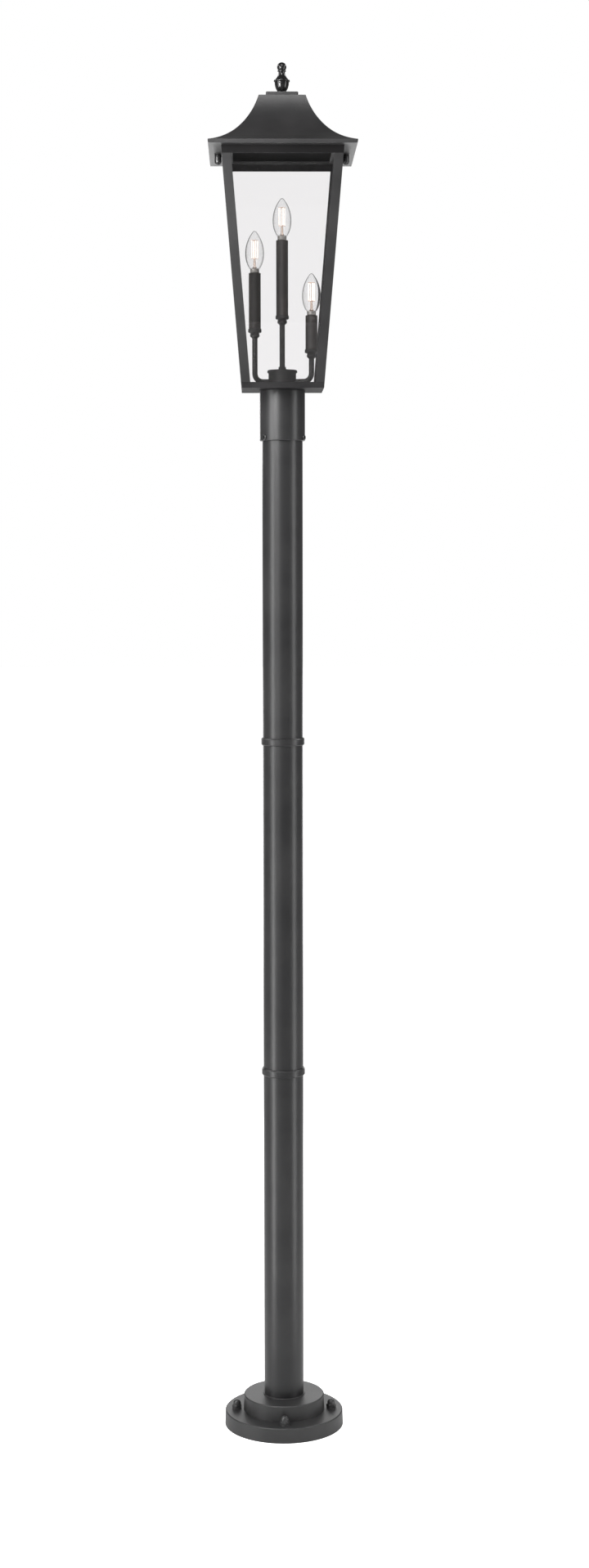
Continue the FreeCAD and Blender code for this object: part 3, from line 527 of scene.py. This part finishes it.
# ======================================================================= hub and its tubes
# A round can with a turned lid on the pan, a nut at the stem's foot, a straight stem and two bent
# arms of tube. All in a dark satin coat.
candle_dark = (0.009, 0.0087, 0.0087, 1.0)
candle_light = (0.0165, 0.0155, 0.0155, 1.0)
candle_roughness = 0.22
candle_grain = 0.0006
neck_flats = 14.0
neck_chamfer = 1.1
neck_hole_r = 5.1
candle_coat = powder_coat("candle_coat", candle_dark, candle_light, candle_roughness, candle_grain)
paint(candle_coat, "hub_body", "hub_cover", "stem_center", "arm_left", "arm_right")
soften(sheet_edge, "hub_body", "hub_cover")
neck_low, neck_high = axis_mm("stem_neck_nut")[2:]
neck_nut = nut_body(bmesh.new(), neck_flats, neck_hole_r, neck_low, neck_high, neck_chamfer)
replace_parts(piece("neck_nut", neck_nut, "lantern", candle_coat), "stem_neck_nut")

# ======================================================================== candle cups
# Under each candle a cup turned from bar: a bead over the tube, a waist, and a wide rounded lip
# with a seat for the sleeve.
cup_bore_r = 4.4
cup_foot_r = 5.8
cup_bead_r = 8.9
cup_bead_low = 3.0
cup_bead_high = 7.0
cup_waist_r = 7.4
cup_waist_height = 8.4
cup_lip_r = 12.5
cup_lip_low = 10.6
cup_height = 16.8
cup_seat_r = 11.3
cup_seat_height = 14.3
cup_outline = rounded([(cup_bore_r, 0.0, 0), (cup_foot_r, 0.0, 0.3),
                       (cup_bead_r, cup_bead_low, 1.3), (cup_bead_r, cup_bead_high, 1.3),
                       (cup_waist_r, cup_waist_height, 0.7),
                       (cup_lip_r, cup_lip_low, 1.4), (cup_lip_r, cup_height, 0.5),
                       (cup_seat_r, cup_height, 0), (cup_seat_r, cup_seat_height, 0),
                       (cup_bore_r, cup_seat_height, 0)], 6)
sides = ["left", "center", "right"]
for side in sides:
    cup = turn(bmesh.new(), cup_outline, around=96, center=axis_mm("candle_cup_" + side)[:3])
    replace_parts(piece("cup_" + side, cup, "lantern", candle_coat), "candle_cup_" + side)

# ====================================================================== candle sleeves
# Thin tubes that hide the lampholders, each standing in its cup's seat. They are of fibre, with a
# dull, faintly brown black lacquer.
sleeve_dark = (0.0105, 0.0092, 0.0085, 1.0)
sleeve_light = (0.018, 0.0150, 0.0136, 1.0)
sleeve_roughness = 0.42
sleeve_grain = 0.0005
sleeve_shine = 0.4
sleeve_edge = 0.0003
sleeves = ["candle_sleeve_" + side for side in sides]
sleeve_coat = powder_coat("sleeve_lacquer", sleeve_dark, sleeve_light, sleeve_roughness, sleeve_grain,
                          sleeve_shine)
paint(sleeve_coat, *sleeves)
soften(sleeve_edge, *sleeves)

# ================================================================== plated inner fasteners
# Nipple, lock nuts and studs of zinc-plated steel, seen only when the roof is off. Their plating
# is faintly mottled.
zinc_dark = (0.46, 0.45, 0.42, 1.0)
zinc_light = (0.66, 0.65, 0.62, 1.0)
stud_r = 3.0
stud_pitch = 1.0
stud_thread_depth = 0.3
thread_rows = 8
lock_nut_flats = 13.0
lock_nut_hole_r = 4.1
lock_nut_chamfer = 1.0


def mottled(name, dark, light, metallic, shade_size, smoothest, roughest, gloss_size, detail=2.0):
    """A bare or plated skin. Its shade varies over one size and its gloss over another, in metres."""
    material, tree, shader = surface(name)
    shader.inputs["Metallic"].default_value = metallic
    blend_shades(tree, noise(tree, shade_size, detail), dark, light, shader.inputs["Base Color"])
    spread(tree, noise(tree, gloss_size), smoothest, roughest, shader.inputs["Roughness"])
    return material


def thread(form, radius, depth, pitch, low, high, center, around):
    """A screw thread about an upright axis, closed at both ends, into a bmesh."""
    x, y = center
    count = int(thread_rows * (high - low) / pitch)
    rings = []
    for row in range(count + 1):
        z = low + (high - low) * row / count
        ring = []
        for i in range(around):
            turned = 2 * math.pi * i / around
            wave = 0.5 - 0.5 * math.cos(2 * math.pi * z / pitch - turned)
            reach = radius - depth * wave
            ring.append(form.verts.new((x + reach * math.cos(turned), y + reach * math.sin(turned), z)))
        rings.append(ring)
    for ring, following in zip(rings, rings[1:]):
        for i in range(around):
            j = (i + 1) % around
            form.faces.new([ring[i], ring[j], following[j], following[i]])
    form.faces.new(rings[0])
    form.faces.new(rings[-1])
    return form


zinc = mottled("zinc_plate", zinc_dark, zinc_light, metallic=1.0, shade_size=0.004,
               smoothest=0.28, roughest=0.45, gloss_size=0.0015, detail=5.0)
paint(zinc, "hub_nipple", "nipple_nuts", "tube_lock_nuts")
stud_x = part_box("roof_studs")[1][0] / millimetre - stud_r
stud_low, stud_high = axis_mm("roof_studs")[2:]
for side, x in (("left", -stud_x), ("right", stud_x)):
    stud = thread(bmesh.new(), stud_r, stud_thread_depth, stud_pitch, stud_low, stud_high,
                  (x, 0.0), around=24)
    stud = piece("roof_stud_" + side, stud, "roof", zinc, smooth=60.0)
    if side == "left":
        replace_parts(stud, "roof_studs")
lock_low, lock_high = axis_mm("finial_lock_nut")[2:]
lock_nut = nut_body(bmesh.new(), lock_nut_flats, lock_nut_hole_r, lock_low, lock_high, lock_nut_chamfer)
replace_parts(piece("lock_nut", lock_nut, "roof", zinc), "finial_lock_nut")

# ======================================================================== lampholders
# Black moulded lampholders at the top of the sleeves, each with a brass screw shell and a centre
# contact, seen only when a lamp is out.
moulding_dark = (0.02, 0.02, 0.02, 1.0)
moulding_light = (0.04, 0.04, 0.04, 1.0)
brass_dark = (0.66, 0.46, 0.2, 1.0)
brass_light = (0.8, 0.62, 0.33, 1.0)
moulding = mottled("black_moulding", moulding_dark, moulding_light, metallic=0.0, shade_size=0.003,
                   smoothest=0.45, roughest=0.6, gloss_size=0.001)
brass = mottled("contact_brass", brass_dark, brass_light, metallic=1.0, shade_size=0.002,
                smoothest=0.2, roughest=0.35, gloss_size=0.001)
paint(moulding, *["socket_body_" + side for side in sides])
paint(brass, *["socket_contacts_" + side for side in sides])

# ========================================================================== lamp caps
# Screw cap of nickel-plated brass: a plain collar that is cemented to the glass, a rolled thread
# below it, a black glass bead, and a soldered tip. Heights count from the collar's foot.
nickel_dark = (0.46, 0.44, 0.415, 1.0)
nickel_light = (0.62, 0.595, 0.565, 1.0)
solder_dark = (0.4, 0.4, 0.4, 1.0)
solder_light = (0.6, 0.6, 0.6, 1.0)
collar_r = 8.35
collar_height = 8.0
collar_foot_r = 6.4
collar_shoulder = 0.9
collar_bore_r = 7.3
collar_floor = 5.0
cap_thread_r = 5.9
cap_thread_depth = 0.55
cap_pitch = 2.54
cap_thread_low = -14.6
cap_thread_high = 0.3
bead_r = 5.3
bead_top = -14.4
bead_shoulder = -15.2
bead_foot_r = 3.0
bead_foot = -16.7
solder_top = -16.8
solder_curve = [(2.6, solder_top), (1.9, -18.0), (0.0, -18.4)]
nickel = mottled("nickel_cap", nickel_dark, nickel_light, metallic=0.88, shade_size=0.002,
                 smoothest=0.14, roughest=0.24, gloss_size=0.0008)
solder = mottled("solder", solder_dark, solder_light, metallic=1.0, shade_size=0.001,
                 smoothest=0.3, roughest=0.5, gloss_size=0.0006)
collar_outline = rounded([(0.0, 0.0, 0), (collar_foot_r, 0.0, 0.4), (collar_r, collar_shoulder, 0.6),
                          (collar_r, collar_height, 0.6), (collar_bore_r, collar_height, 0),
                          (collar_bore_r, collar_floor, 0), (0.0, collar_floor, 0)])
bead_outline = rounded([(0.0, bead_foot, 0), (bead_foot_r, bead_foot, 0.5), (bead_r, bead_shoulder, 0.5),
                        (bead_r, bead_top, 0), (0.0, bead_top, 0)])
solder_outline = bow(*solder_curve, 6) + [(0.0, solder_top)]
for side in sides:
    x, y, _, cap_top = axis_mm("lamp_base_" + side)
    z = cap_top - collar_height
    cap = turn(bmesh.new(), collar_outline, around=72, center=(x, y, z))
    thread(cap, cap_thread_r, cap_thread_depth, cap_pitch, z + cap_thread_low, z + cap_thread_high,
           (x, y), around=48)
    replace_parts(piece("screw_cap_" + side, cap, "lamp_" + side, nickel, smooth=50.0), "lamp_base_" + side)
    bead = turn(bmesh.new(), bead_outline, around=48, center=(x, y, z))
    piece("cap_bead_" + side, bead, "lamp_" + side, moulding)
    tip = turn(bmesh.new(), solder_outline, around=32, center=(x, y, z))
    piece("cap_tip_" + side, tip, "lamp_" + side, solder)

# ======================================================================== lamp glasses
# Clear blown glass drawn out to a tip like a candle's flame, with a thin even wall. Its neck goes
# down into the cap's collar, and heights count from the collar's rim.
bulb_tint = (0.996, 0.997, 0.998, 1.0)
bulb_roughness = 0.006
bulb_ripple = 0.02
bulb_ripple_depth = 0.00002
glass_wall = 0.65
neck_r = 7.2
neck_foot = -3.0
shoulder = (9.8, 0.8)
belly = (17.4, 28.4)
tip_foot = (4.4, 66.8)
tip_end = (0.0, 69.8)
glass_outside = (rounded([(neck_r, neck_foot, 0), (neck_r, 0.0, 1.0), (*shoulder, 0)])[:-1]
                 + bow(shoulder, (15.0, 12.0), belly, 16)
                 + bow(belly, (12.9, 52.0), tip_foot, 20)[1:]
                 + bow(tip_foot, (2.5, 69.05), tip_end, 8)[1:])
bulb_glass = clear_glass("bulb_glass", bulb_tint, bulb_roughness, bulb_ripple, bulb_ripple_depth)


def wall_inside(outside, wall):
    """The inner face of a blown wall, from its outer one, listed backwards."""
    inside = []
    for index, place in enumerate(outside):
        before = outside[max(index - 1, 0)]
        after = outside[min(index + 1, len(outside) - 1)]
        along = (after - before).normalized()
        inside.append(place + Vector((-along.y, along.x)) * wall)
    inside[0] = Vector((outside[0].x - wall, outside[0].y))
    inside[-1] = Vector((0.0, outside[-1].y - wall))
    return [Vector((max(place.x, 0.0), place.y)) for place in reversed(inside)]


glass_outline = glass_outside + wall_inside(glass_outside, glass_wall)
for side in sides:
    x, y, _, glass_top = axis_mm("lamp_glass_" + side)
    glass = turn(bmesh.new(), glass_outline, around=96, center=(x, y, glass_top - tip_end[1]))
    glass = piece("flame_glass_" + side, glass, "lamp_" + side, bulb_glass, smooth=60.0)
    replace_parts(glass, "lamp_glass_" + side)

# ==================================================================== lamp filaments
# Four upright strips of glowing chips in a pale coat, between two wire crosses on a glass mount.
# The ends of the strips are bare metal and look orange in their light; that orange is painted light
# on the wires, as is the peach of the mount's glass. Heights count from the collar's rim.
glow_dark = (1.0, 0.74, 0.58, 1.0)
glow_light = (1.0, 0.95, 0.9, 1.0)
glow_coat = (1.0, 0.85, 0.7, 1.0)
glow_strength = 1.1
chip_bands = 380.0
# Painted light: the wires are coloured orange for the strips' glow on them.
glow_painted_wire_dark = (0.5, 0.3, 0.19, 1.0)
glow_painted_wire_light = (0.8, 0.52, 0.35, 1.0)
# Painted light: the mount's glass is tinted peach for the strips' glow in it.
mount_glow_tint = (0.98, 0.9, 0.84, 1.0)
mount_roughness = 0.1
mount_ripple = 0.004
mount_ripple_depth = 0.0001
mount_foot = -3.0
mount_pinch = [(0.0, mount_foot), (5.0, mount_foot), (5.0, -1.2)]
mount_flare = [(4.9, -0.6), (3.0, 4.0), (2.2, 10.0)]
mount_stalk = [(2.2, 15.0), (1.5, 17.5), (0.8, 18.6), (0.8, 53.0), (0.0, 53.3)]
cross_low = 18.2
cross_high = 53.0
strip_low = 19.6
strip_high = 52.0
strip_circle_r = 5.8
strip_r = 0.5
strip_round = 0.4
strip_turn = 18.0
wire_r = 0.3
wire_past_strip = 0.8
end_r = 0.45
end_past_strip = 1.2
end_on_strip = 0.2
lead_foot = -2.8
lead_foot_x = 1.2
lead_top_x = 0.6
glow, glow_tree, glow_shader = surface("filament_glow")
strip_place = glow_tree.nodes.new("ShaderNodeTexCoord")
chips = glow_tree.nodes.new("ShaderNodeTexWave")
chips.bands_direction = "Z"
chips.inputs["Scale"].default_value = chip_bands
glow_tree.links.new(strip_place.outputs["Object"], chips.inputs["Vector"])
blend_shades(glow_tree, chips.outputs[0], glow_dark, glow_light, glow_shader.inputs["Emission Color"],
             start=0.1, stop=0.6)
glow_shader.inputs["Base Color"].default_value = glow_coat
glow_shader.inputs["Emission Strength"].default_value = glow_strength
glow_painted_metal = mottled("glow_painted_wire", glow_painted_wire_dark, glow_painted_wire_light, metallic=0.7, shade_size=0.001,
                     smoothest=0.25, roughest=0.4, gloss_size=0.0006)
glow_tinted_mount_glass = clear_glass("glow_tinted_mount_glass", mount_glow_tint, mount_roughness, mount_ripple, mount_ripple_depth)


def rod(form, start, end, radius, around=8):
    """A round wire between two places, into a bmesh."""
    start, end = Vector(start), Vector(end)
    aim = (end - start).to_track_quat("Z", "Y").to_matrix().to_4x4()
    bmesh.ops.create_cone(form, cap_ends=True, segments=around, radius1=radius, radius2=radius,
                          depth=(end - start).length, matrix=Matrix.Translation((start + end) / 2) @ aim)


mount_outline = mount_pinch + bow(*mount_flare, 8) + mount_stalk
strip_outline = rounded([(0.0, strip_low, 0), (strip_r, strip_low, strip_round),
                         (strip_r, strip_high, strip_round), (0.0, strip_high, 0)])
for side in sides:
    x, y, filaments_foot = axis_mm("lamp_filaments_" + side)[:3]
    z = filaments_foot - mount_foot
    mount = turn(bmesh.new(), mount_outline, around=32, center=(x, y, z))
    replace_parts(piece("mount_" + side, mount, "lamp_" + side, glow_tinted_mount_glass), "lamp_filaments_" + side)
    wires = bmesh.new()
    strips = bmesh.new()
    for quarter in (0, 90, 180, 270):
        spoke = math.radians(quarter + strip_turn)
        foot = (x + strip_circle_r * math.cos(spoke), y + strip_circle_r * math.sin(spoke))
        low, high = z + strip_low, z + strip_high
        rod(wires, (x, y, z + cross_low), (*foot, low - wire_past_strip), wire_r)
        rod(wires, (*foot, low - end_past_strip), (*foot, low + end_on_strip), end_r)
        rod(wires, (x, y, z + cross_high), (*foot, high + wire_past_strip), wire_r)
        rod(wires, (*foot, high - end_on_strip), (*foot, high + end_past_strip), end_r)
        turn(strips, strip_outline, around=12, center=(*foot, z))
    for way in (1, -1):
        lead_end = (x + way * lead_foot_x, y, z + lead_foot)
        rod(wires, lead_end, (x + way * lead_top_x, y, z + cross_low), wire_r)
    piece("filament_wires_" + side, wires, "lamp_" + side, glow_painted_metal)
    piece("filament_strips_" + side, strips, "lamp_" + side, glow)

# ================================================================================ roof
# Hipped roof pressed from sheet, with concave slopes and a folded rim, under a square cap plate
# whose coat the photo shows paler than the roof's. That paleness is painted light: a paler coat of its own.
roof_dark = (0.0135, 0.0133, 0.0137, 1.0)
roof_light = (0.0245, 0.0236, 0.0242, 1.0)
roof_roughness = 0.36
roof_edge = 0.0009
# Painted light: the cap plate's shades are about three times paler than the roof's, for the light on its
# face.
cap_plate_lit_dark = (0.04, 0.0393, 0.04, 1.0)
cap_plate_lit_light = (0.068, 0.067, 0.068, 1.0)
cap_plate_roughness = 0.32
roof_coat = powder_coat("roof_coat", roof_dark, roof_light, roof_roughness, coat_grain)
cap_painted_light_coat = powder_coat("cap_painted_light_coat", cap_plate_lit_dark, cap_plate_lit_light, cap_plate_roughness, coat_grain)
paint(roof_coat, "roof_shell")
paint(cap_painted_light_coat, "cap_plate")
soften(roof_edge, "roof_shell")
soften(sheet_edge, "cap_plate")

# ============================================================================ roof nuts
# Two long domed nuts of black steel under the eave, left and right, which draw the roof down on
# the lantern. Heights count down from their upper end.
roof_nut_r = 6.3
roof_nut_round = 0.6
roof_nut_bore_r = 3.3
roof_nut_bore_depth = 14.0
for side in ("left", "right"):
    x, y, nut_foot, nut_head = axis_mm("roof_nut_" + side)
    rim = nut_foot - nut_head + roof_nut_r
    bore = [(0.0, -roof_nut_bore_depth), (roof_nut_bore_r, -roof_nut_bore_depth), (roof_nut_bore_r, 0.0)]
    wall = rounded([(roof_nut_bore_r, 0.0, 0), (roof_nut_r, 0.0, roof_nut_round), (roof_nut_r, rim, 0)])[1:-1]
    dome = quarter_round(roof_nut_r, rim, -1)
    nut = turn(bmesh.new(), bore + wall + dome, around=64, center=(x, y, nut_head))
    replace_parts(piece("domed_nut_" + side, nut, "roof_nut_" + side, steel_coat), "roof_nut_" + side)

# ============================================================================== finial
# Finial turned from aluminium bar: foot, bowl, rim, hollow neck, bead and ball, with a shank
# through the roof. Its coat is glossier than the rest. Heights count from the cap plate.
finial_dark = (0.006, 0.006, 0.0065, 1.0)
finial_light = (0.010, 0.0098, 0.010, 1.0)
finial_roughness = 0.13
finial_grain = 0.0012
finial_height = 58.5
shank_r = 4.0
foot_r = 8.4
foot_height = 1.7
bowl_curve = [(7.9, 5.0), (12.0, 13.0), (13.2, 21.2)]
rim_curve = [(13.3, 21.9), (14.9, 24.3), (13.0, 26.7)]
neck_curve = [(12.2, 27.3), (7.3, 34.6), (6.1, 40.3)]
bead_curve = [(6.5, 41.0), (7.9, 42.4), (6.7, 43.8)]
ball_curve = [(6.5, 44.0), (8.7, 49.8), (0.0, finial_height)]
finial_coat = powder_coat("finial_coat", finial_dark, finial_light, finial_roughness, finial_grain)
shank_foot, finial_top = axis_mm("finial")[2:]
shank_end = shank_foot - finial_top + finial_height
finial_foot = rounded([(shank_r, 0.0, 0), (foot_r, 0.0, 0.4), (foot_r, foot_height, 0.5),
                       (*bowl_curve[0], 0)])[1:-1]
finial_outline = ([(0.0, shank_end), (shank_r, shank_end), (shank_r, 0.0)] + finial_foot
                  + bow(*bowl_curve, 12) + bow(*rim_curve, 10) + bow(*neck_curve, 12)
                  + bow(*bead_curve, 8) + bow(*ball_curve, 20))
finial = turn(bmesh.new(), finial_outline, around=96, center=(0.0, 0.0, finial_top - finial_height))
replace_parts(piece("turned_finial", finial, "roof", finial_coat), "finial")
